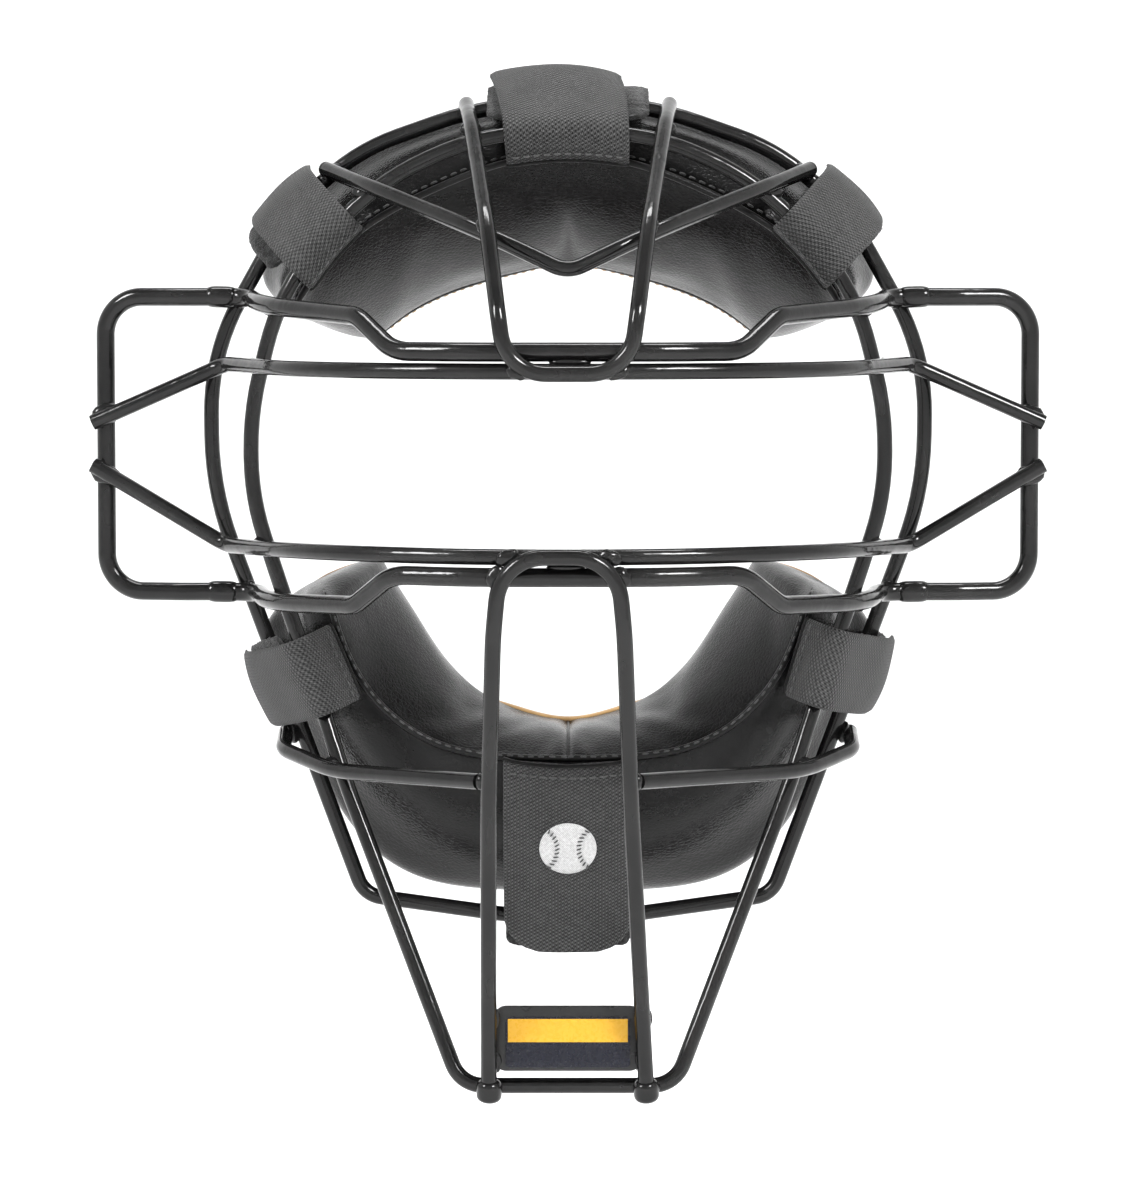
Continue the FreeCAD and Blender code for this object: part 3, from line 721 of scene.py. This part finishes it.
def crease(rings, chin):
    """Small puckers beside the seam and slow hollows: sines across the seam whose depth fades with distance
    from it; the chin pad also has a sewn joint down its middle."""
    n = ring_normals(rings)
    seam = rings[:, SEAM_COLUMN]
    run = lengths_along(seam)[:, None] / MM
    column = np.arange(rings.shape[1])[None, :]
    off = np.abs(column - SEAM_COLUMN) * 2.1
    side = np.where(column < SEAM_COLUMN, 1.0, 0.7)
    on_panel = (column > 1) & (column < INNER_COUNT + OUTER_COUNT - 4)
    wave = np.sin(run / 5.3 + 0.35 * np.sin(run / 11 + 1)) * np.sin(run / 23.0 + 0.4)
    depth = 0.42 * wave * np.exp(-off / 7.0) * (1 - np.exp(-off / 1.6)) * side
    slow = 0.5 * np.sin(run / 27 + off / 19 + 1.3) * np.sin(off / 13.0 + 0.6)
    total = np.where(on_panel, depth + slow * 0.6, 0)
    if chin:
        x = rings[..., 0] / MM
        inner_side = (column <= SEAM_COLUMN) & (column > 0)
        joint = -0.75 * np.exp(-(x / 0.8) ** 2) + 0.3 * np.exp(-((np.abs(x) - 3.4) / 2.2) ** 2)
        total = total + np.where(inner_side, joint, 0)
    return rings + n * (total * MM)[..., None]


def tube_along(name, path, normals, half_out, half_side, count=14, taper=None, lift=0.0):
    """Oval roll carried along a path: half_out along the path's normals and half_side across them."""
    t = unit(np.gradient(path, axis=0))
    n = unit(normals - t * (normals * t).sum(-1, keepdims=True))
    b = np.cross(t, n)
    turn = np.linspace(0, TAU, count, endpoint=False)
    size = np.ones(len(path)) if taper is None else taper
    ring = (
        path[:, None, :] + n[:, None, :] * lift * MM
        + n[:, None, :] * (half_out * MM * np.cos(turn)[None, :] * size[:, None])[..., None]
        + b[:, None, :] * (half_side * MM * np.sin(turn)[None, :] * size[:, None])[..., None]
    )
    return closed_loft(name, ring)


def stitch_row(name, path, normals, pitch, length, radius, material, body="cage", slant=0.0, rise=0.25):
    """Row of thread stitches: short rolls that thin out and dip at both ends, one each pitch of the path."""
    total = np.linalg.norm(np.diff(path, axis=0), axis=1).sum()
    count = max(int(total / (pitch * MM)), 1)
    run = lengths_along(path)
    want = (np.arange(count) + 0.5) * total / count
    centre, tangent, normal = (
        np.stack([np.interp(want, run, values[:, k]) for k in range(3)], -1)
        for values in (path, np.gradient(path, axis=0), normals)
    )
    t = unit(tangent)
    n = unit(normal - t * (normal * t).sum(-1, keepdims=True))
    b = np.cross(t, n)
    lean = slant + rng.uniform(-0.06, 0.06, count)[:, None]
    t2 = unit(t * np.cos(lean) + b * np.sin(lean))
    b2 = np.cross(t2, n)
    rows, cols = 7, 8
    u = np.linspace(-1, 1, rows)
    girth = np.sqrt(np.clip(1 - u ** 4, 0.0004, 1))
    turn = np.linspace(0, TAU, cols, endpoint=False)
    template = np.stack([
        np.broadcast_to(u[:, None], (rows, cols)) * length / 2,
        girth[:, None] * np.cos(turn) * radius,
        girth[:, None] * np.sin(turn) * radius - 0.45 * radius * u[:, None] ** 2,
    ], -1) * MM
    frames = np.stack([t2, b2, n], -1)
    piece = copies(name, capped(template), frames, centre + n * rise * MM)
    return dress(piece, material, body)


def lining_rings(rows, down):
    """Thin pillow on the face side: flat underneath, crowned by 2.6 mm, thinnest at its sewn edge."""
    angles, numbers = even_rows(rows, 70)
    reach = angles[-1] - 2.0
    angles = angles * reach / angles[-1]
    t = np.linspace(0, 1, 20)
    crown = 1.2 + 2.6 * (4 * t * (1 - t)) ** 0.55
    near, far = numbers[:, 0] + 2.4, numbers[:, 3] - 7.2
    face_y = numbers[:, 4]
    s_top = near[:, None] + (far - near)[:, None] * t
    rib = 0.25 * np.sin(np.radians(angles)[:, None] * 60 + 4 * t)
    y_top = face_y[:, None] + crown + rib * np.sin(math.pi * t)
    s = np.concatenate([s_top, s_top[:, ::-1][:, 1:-1]], 1)
    y = np.concatenate([y_top, np.broadcast_to(face_y[:, None] + 0.1, s_top.shape)[:, 1:-1]], 1)
    middles = [np.array([s[k].mean(), y[k].min()]) for k in (0, -1)]
    return on_rays(*round_ends(np.stack([s, y], -1), angles, middles, 7, 0.03, 3.4), down)


REAR_HOOP_SIDE = (
    (21.5, 0, 98.0), (57.0, 0, 85.5), (77.3, 0, 69.0), (99.9, 0, 28.5), (99.6, 0, -10.0), (57.4, 0, -124.0),
)
FRONT_HOOP_SIDE = (
    (22.5, -22, 89.3), (53.3, -22, 75.3), (79.0, -22, 46.1), (87.3, -22, 12.6), (87.1, -22, -11.0),
    (77.0, -23.8, -41.5), (69.3, -25.6, -63.5), (60.6, -35.0, -89.0), (28.9, -60.0, -167.7),
)
REAR_RADII = (95.0, 58.0, 72.0, 65.0, 90.0, 8.0)
FRONT_RADII = (72.0, 75.0, 65.0, 85.0, 70.0, 150.0, 60.0, 150.0, 9.0)


def bent_line(side, radii):
    """Middle line of a hoop: straight runs, with a curve at each corner that starts and ends where a tangent
    arc of that radius would, drawn as a quadratic curve towards the corner."""
    left = [(-x, y, z) for x, y, z in reversed(side)]
    points = np.array(list(side) + left, float)
    radius = np.array(list(radii) + list(radii)[::-1])
    t = np.linspace(0, 1, 12)[:, None]
    runs = []
    for k in range(len(points)):
        corner = points[k]
        before = unit(points[k - 1] - corner)
        after = unit(points[(k + 1) % len(points)] - corner)
        half = math.acos(np.clip(before @ after, -1, 1)) / 2
        reach = radius[k] / math.tan(half)
        a, c = corner + before * reach, corner + after * reach
        runs.append(a * (1 - t) ** 2 + 2 * corner * t * (1 - t) + c * t ** 2)
    line = np.vstack(runs)
    return np.vstack([line, line[:1]]) * MM


def smoother(piece):
    """One level of subdivision, live."""
    finer = piece.modifiers.new("Finer", "SUBSURF")
    finer.levels = finer.render_levels = 1


def pad(name, rows, down):
    """One pad: leather cover, lip along the front seam, stitching, lining and edge round the face side."""
    chin = name == "chin_pad"
    rings = pad_rings(rows, down)
    rings = swell(rings, name, PRESSURE, GROWTH, SWELL_CAP)
    rings = crease(rings, chin)
    hoops = [bent_line(REAR_HOOP_SIDE, REAR_RADII), bent_line(FRONT_HOOP_SIDE, FRONT_RADII)]
    rings = press_clear(rings, hoops, WIRE_RADIUS, WIRE_ROOM)
    normals = ring_normals(rings)
    cover = closed_loft(name + "_leather", rings)
    smoother(cover)
    dress(cover, LEATHER, replaces=(name + "_cover", name + "_foam"))

    inner = slice(CAP_ROWS - 3, len(rings) - CAP_ROWS + 3)
    seam = softened(rings[inner, SEAM_COLUMN], 1, 1)
    out = softened(unit(normals[inner, SEAM_COLUMN - 2] + normals[inner, SEAM_COLUMN + 2]), 3)
    ripple = np.linspace(0, 1, len(seam))
    seam = seam + out * (0.25 * np.sin(ripple * 61) * np.sin(ripple * 17) * MM)[:, None]
    taper = step_up(ripple, -0.01, 0.03) * (1 - step_up(ripple, 0.97, 1.01))
    lip = tube_along(name + "_lip", seam, out, 1.25, 0.95, taper=np.maximum(taper, 0.05), lift=0.35)
    dress(lip, EDGE_LEATHER, replaces=(name + "_binding",))
    if chin:
        stitch_row(name + "_seam_stitches", seam, out, 2.9, 2.0, 0.25, THREAD, rise=1.6)
        middle = (len(rings) - 1) // 2
        joint = (rings[middle, 1:SEAM_COLUMN + 1] + rings[middle + 1, 1:SEAM_COLUMN + 1]) / 2
        facing = softened(normals[middle, 1:SEAM_COLUMN + 1], 2)
        sewn = tube_along(name + "_joint", joint, facing, 0.3, 0.3, count=8, lift=0.12)
        dress(sewn, EDGE_LEATHER)
    else:
        row = rings[inner, SEAM_COLUMN] * 0.15 + rings[inner, SEAM_COLUMN + 1] * 0.85
        stitch_row(
            name + "_seam_stitches", softened(row, 1, 1), softened(normals[inner, SEAM_COLUMN + 2], 1, 1),
            2.9, 2.1, 0.3, SEAM_THREAD, rise=0.35,
        )
    lining = closed_loft(name + "_suede", lining_rings(rows, down))
    smoother(lining)
    dress(lining, LINING, replaces=(name + "_lining",))
    edge_roll(name, rings, chin)


def edge_roll(name, rings, chin):
    """Folded edge round the face side, carried along the inner edge, round one end, back along the outer edge
    and round the other end, with stitches on it on the brow pad."""
    start, stop = CAP_ROWS - 2, len(rings) - CAP_ROWS + 2
    last = INNER_COUNT + OUTER_COUNT - 2
    inner = rings[start:stop, 0]
    outer = rings[start:stop, last][::-1]
    loop = np.vstack([inner, outer, inner[:1]])
    loop = evened(loop, 260)
    ring = loop[:-1]
    for _ in range(6):
        ring = (np.roll(ring, 1, 0) + 2 * ring + np.roll(ring, -1, 0)) / 4
    back = np.array([0, 1.0, 0])
    t = unit(np.roll(ring, -1, 0) - np.roll(ring, 1, 0))
    n = np.broadcast_to(back, ring.shape)
    b = np.cross(t, n)
    turn = np.linspace(0, TAU, 12, endpoint=False)
    oval = (
        ring[:, None] + n[:, None] * (1.6 * MM * np.cos(turn))[None, :, None]
        + b[:, None] * (0.9 * MM * np.sin(turn))[None, :, None]
    )
    rows, cols = oval.shape[:2]
    faces = quads(rows, cols, loop_rows=True, loop_cols=True)
    points = oval.reshape(-1, 3)
    if volume_of(points, faces) < 0:
        faces = faces[:, ::-1]
    piece = make_piece(name + "_edge", points, [faces])
    dress(piece, TAN_EDGE if chin else EDGE_LEATHER)
    if not chin:
        count = len(inner) * 260 // (len(inner) + len(outer))
        path = ring[4:count - 4]
        toward = -unit(path * np.array([1, 0, 1]))
        stitch_row(name + "_edge_stitches", path, toward, 2.6, 1.7, 0.24, TAN_THREAD, rise=0.9)


# ---------------------------------------------------------------- webbing

# Name, direction in degrees, sideways offset, width, distance to the pad's seam, front hoop (or None),
# rear hoop and lift of the loose end, then how far the loose end leans, in mm.
CLOSURES = (
    ("top", 90, 0.0, 34.6, 83.2, (89.2, -22.0), 97.9, 1.6, 3.4),
    ("upper_right", 45, -6.1, 22.4, 85.4, (89.8, -22.0), 102.3, 0.0, 1.0),
    ("upper_left", 135, 6.1, 22.4, 85.4, (89.8, -22.0), 102.3, 0.0, -1.0),
    ("lower_right", -17, -34.0, 22.4, 77.6, (85.1, -27.3), 95.9, 0.2, 0.6),
    ("lower_left", -158, 29.0, 22.4, 79.4, (87.9, -28.0), 98.5, 0.4, -0.6),
    ("chin", -90, 0.0, 36.0, 83.4, None, 129.4, 0.0, 0.0),
)
TAPE_THICKNESS = 1.6
# Radius of the seam that a tab's sewn end follows, and how far the front end of a pile tab leans sideways.
SEAM_ARC = {"top": 82.0, "upper_right": 86.0, "upper_left": 86.0, "chin": 90.0}
PILE_LEAN = {"upper_left": 4.0, "lower_left": -2.5}


class Closure:
    """Where a closure lies and the lines its two tabs follow, in (distance outward, Y)."""

    def __init__(self, name, degrees, offset, width, seam, front, rear, lift, lean):
        turn = math.radians(degrees)
        self.name, self.width, self.lean, self.chin = name, width, lean, front is None
        self.out = np.array([math.cos(turn), 0, math.sin(turn)])
        self.aside = np.array([-math.sin(turn), 0, math.cos(turn)])
        self.offset = offset
        if self.chin:
            self.front_line = [
                (seam + 2.0, -21.4), (seam + 23.0, -13.6), (rear - 2.5, -5.6), (rear + 3.6, -3.6),
                (rear + 10.2, -3.0),
            ]
            self.rear_line = [(rear - 5.5, 23.0), (rear + 0.4, 8.0), (rear + 4.2, 0.6), (rear + 8.8, 0.0)]
        else:
            s, y = front
            self.front_line = [
                (seam - 0.8, -22.2), (s - 3.0, y - 3.9), (s + 3.0, y - 3.9), (rear + 2.9, -12.8),
                (rear + 5.9 + lift, 0.5), (rear + 6.2 + lift, 9.0),
            ]
            self.rear_line = [
                (rear + 1.0, 27.0), (rear + 3.7, 13.0), (rear + 3.9, 2.0), (rear + 0.7, -11.0),
                (s + 4.1, y + 2.3),
            ]

    def place(self, s, y, t):
        """Points in space at distances outward, Y and sideways, in mm."""
        sideways = (self.offset + t)[..., None] * self.aside
        return (s[..., None] * self.out + sideways + y[..., None] * np.array([0, 1.0, 0])) * MM


def tape(
    closure, line, width, thickness, wobble=0.35, crown=0.0, widen=None, corner=2.0, lean=0.0, arc=0.0,
):
    """Strip of tape along a line: a flat oval section of the given thickness whose middle surface ripples by
    two slow sines, with its loose end cut round at the corners. Returns rings, lay and the number of points
    across one face."""
    lengthwise, crosswise = 56, 26
    path = curve_through(line, lengthwise)
    tangent = unit(np.gradient(path, axis=0))
    normal = np.stack([-tangent[:, 1], tangent[:, 0]], -1)
    if (normal[0] @ np.array([0, -1.0])) < 0:
        normal = -normal
    run = lengths_along(path)
    u = run / run[-1]
    grown = np.minimum(u / 0.8, 1.0)
    half = np.full(lengthwise, width / 2) if widen is None else width / 2 * widen(grown)
    drift = (lean * grown ** 1.5)[:, None]
    near_end = np.clip((run - (run[-1] - corner)) / corner, 0, 1)
    half = half - corner * (1 - np.sqrt(np.clip(1 - near_end ** 2, 0.02, 1)))
    v = np.linspace(-1, 1, crosswise)
    side = np.concatenate([v, v[::-1]])
    face = np.concatenate([np.ones(crosswise), -np.ones(crosswise)])
    round_edge = np.sqrt(np.clip(1 - np.abs(side) ** 14, 0.02, 1))
    across = half[:, None] * side + drift
    ripple = wobble * np.sin(u[:, None] * 7 + side * 1.3 + 0.6) * (0.4 + 0.6 * u[:, None])
    ripple = ripple + wobble * 0.6 * np.sin(side * 3.1 + u[:, None] * 3) * u[:, None]
    ripple = ripple + crown * (1 - side ** 2) * step_up(u, 0.45, 0.85)[:, None]
    off = face * round_edge * thickness / 2 + ripple
    s = path[:, :1] + normal[:, :1] * off
    if arc:
        aside = closure.offset + across
        drop = np.sqrt(arc ** 2 - aside ** 2) - math.sqrt(arc ** 2 - closure.offset ** 2)
        s = s + drop * (1 - step_up(u, 0.0, 0.35))[:, None]
    y = path[:, 1:] + normal[:, 1:] * off
    rings = closure.place(s, y, across)
    lay = np.stack([
        np.broadcast_to(run[:, None], across.shape), across - drift, np.broadcast_to(face, across.shape),
    ], -1)
    return rings, lay * np.array([MM, MM, 1.0]), crosswise


def front_tab(closure):
    """Hook-and-loop tab sewn at the pad's seam: woven tape, one row of stitches and a turned hem."""
    body = closure.name + "_flap"
    widen = None
    if closure.name == "top":
        widen = lambda u: 0.97 + 0.09 * u
    corner = 10.5 if closure.chin else 0.5
    crown = {"top": 2.2, "chin": 0.5}.get(closure.name, 0.9)
    rings, lay, cross = tape(
        closure, closure.front_line, closure.width, TAPE_THICKNESS, crown=crown, widen=widen, corner=corner,
        lean=closure.lean, arc=SEAM_ARC.get(closure.name, 0.0),
    )
    piece = closed_loft(closure.name + "_tab", rings, lay)
    dress(piece, WEBBING, body, replaces=(closure.name + "_front_tab",))
    front = rings[:, :cross]
    n = unit(np.cross(np.gradient(front, axis=0), np.gradient(front, axis=1)))
    if (n[3, cross // 2] @ np.array([0, -1.0, 0])) < 0:
        n = -n
    hem_rows = 3
    path = front[hem_rows, 1:-1]
    stitch_row(
        closure.name + "_tab_stitches", path, n[hem_rows, 1:-1], 2.7, 2.0, 0.3, SEAM_THREAD, body,
    )
    hem = softened(front[0], 1, 1) - (front[1] - front[0]) * 0.3
    lip = tube_along(closure.name + "_tab_hem", hem, n[0], 0.85, 0.5, lift=-0.25)
    dress(lip, EDGE_LEATHER, body)
    return front, n, lay[:, :cross]


def rear_tab(closure):
    """Loop-pile tape from the back of the pad over the rear hoop, a little wider than the front tab."""
    spread = {"top": 10.0, "chin": -1.0}.get(closure.name, 0.0)
    rings, lay, _ = tape(
        closure, closure.rear_line, closure.width + spread, TAPE_THICKNESS, wobble=0.25, corner=2.5,
        lean=PILE_LEAN.get(closure.name, 0.0),
    )
    fuzz = 0.16 * MM * rng.standard_normal(rings.shape[:2])
    rings = rings + ring_normals(rings) * fuzz[..., None]
    piece = closed_loft(closure.name + "_pile", rings, lay)
    dress(piece, PILE, "cage", replaces=(closure.name + "_rear_tab",))


EMBLEM_ALONG = 0.0246   # from the tab's sewn end to the middle of the emblem, in m


def emblem(front, n, lay):
    """Round embroidered ball on the chin tab: a low dome of thread, and two curved rows of seam stitches."""
    row = int(np.argmin(np.abs(lay[:, 0, 0] - EMBLEM_ALONG)))
    middle = front[row, front.shape[1] // 2 - 1:front.shape[1] // 2 + 1].mean(0)
    up = n[row, front.shape[1] // 2]
    along = unit(front[row + 1, 5] - front[row - 1, 5])
    side = np.cross(up, along)
    radius = 8.0
    r = np.concatenate([np.linspace(0.06, 0.93, 12), [1.0, 1.0]])
    rise = np.concatenate([0.62 - 0.22 * np.linspace(0, 1, 12) ** 3, [0.25, -0.2]])
    scale = np.array([radius, radius, 1])[:, None, None]
    px, py, pz = np.moveaxis(turned(r, rise, 48), -1, 0) * scale * MM
    rings = middle + px[..., None] * side + py[..., None] * along + pz[..., None] * up
    patch = closed_loft("chin_emblem", rings, np.stack([py, px * 0.8 + py * 0.6, pz], -1))
    dress(patch, EMBROIDERY, "chin_flap", replaces=("chin_tab_emblem",))
    for hand in (-1, 1):
        bow = np.linspace(-1.05, 1.05, 24)
        x = hand * (8.6 - 5.6 * np.cos(bow)) * MM
        y = 7.0 * np.sin(bow) * MM
        path = middle + x[:, None] * side + y[:, None] * along + up * 0.62 * MM
        stitch_row(
            f"chin_emblem_seam_{'right' if hand > 0 else 'left'}", path, np.broadcast_to(up, path.shape),
            1.25, 1.7, 0.24, SEAM_THREAD, "chin_flap", slant=1.2, rise=0.05,
        )


# ---------------------------------------------------------------- studio

def studio():
    """Pale bowl: a flat floor whose rim turns up in a quarter circle and goes on as a wall."""
    radius, bend, top, floor, sweep = 2.3, 0.9, 3.2, -0.235, 72
    arc = np.linspace(0, math.pi / 2, 14)
    flat_part = np.linspace(0.01, radius - bend, 8)[:-1]
    r = np.concatenate([flat_part, radius - bend + bend * np.sin(arc), [radius]])
    z = np.concatenate([np.full(7, floor), floor + bend * (1 - np.cos(arc)), [top]])
    points = np.vstack([turned(r, z, sweep).reshape(-1, 3), [(0, 0, floor)]])
    j = np.arange(sweep)
    middle = np.stack([np.full(sweep, len(points) - 1), (j + 1) % sweep, j], -1)
    bowl = make_piece("studio_bowl", points, [quads(len(r), sweep, loop_cols=True), middle])
    bowl.data.materials.append(studio_finish(0.93))

    world = bpy.data.worlds.new("studio_air")
    world.use_nodes = True
    world.node_tree.nodes["Background"].inputs["Color"].default_value = (1, 1, 1, 1)
    world.node_tree.nodes["Background"].inputs["Strength"].default_value = 0.56
    bpy.context.scene.world = world

    for name, where, size, power in (
        ("key_right", (0.85, -0.95, 1.05), (0.42, 0.42), 38.0),
        ("fill_left", (-1.05, -0.75, 0.85), (0.3, 0.5), 24.0),
        ("top_back", (0.0, 0.35, 1.4), (0.9, 0.25), 14.0),
    ):
        data = bpy.data.lights.new(name, "AREA")
        data.shape, data.size, data.size_y, data.energy = "RECTANGLE", size[0], size[1], power
        lamp = bpy.data.objects.new(name, data)
        lamp.location = where
        aim = np.array([0, -0.03, -0.03]) - np.array(where)
        yaw = math.atan2(aim[0], -aim[1])
        pitch = math.atan2(np.hypot(aim[0], aim[1]), -aim[2])
        lamp.rotation_euler = (pitch, 0, yaw + math.pi)
        bpy.context.scene.collection.objects.link(lamp)


def camera():
    """Long lens a little above the middle, looking down by 4 degrees."""
    data = bpy.data.cameras.new("camera")
    data.lens = 139.29
    data.clip_start, data.clip_end = 0.05, 20
    cam = bpy.data.objects.new("camera", data)
    cam.location = (0.0014, -1.29967, 0.05018)
    cam.rotation_euler = (math.radians(86), 0, 0)
    bpy.context.scene.collection.objects.link(cam)
    bpy.context.scene.camera = cam


# ---------------------------------------------------------------- build

for wire in WIRES:
    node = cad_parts[wire]
    node.data.materials.clear()
    node.data.materials.append(WIRE)

wire_welds()
wire_collars()
nameplate()
pad("brow_pad", BROW_ROWS, False)
pad("chin_pad", CHIN_ROWS, True)
for numbers in CLOSURES:
    closure = Closure(*numbers)
    rear_tab(closure)
    tab = front_tab(closure)
    if closure.chin:
        emblem(*tab)

camera()
studio()
bpy.context.scene.view_settings.view_transform = "Standard"
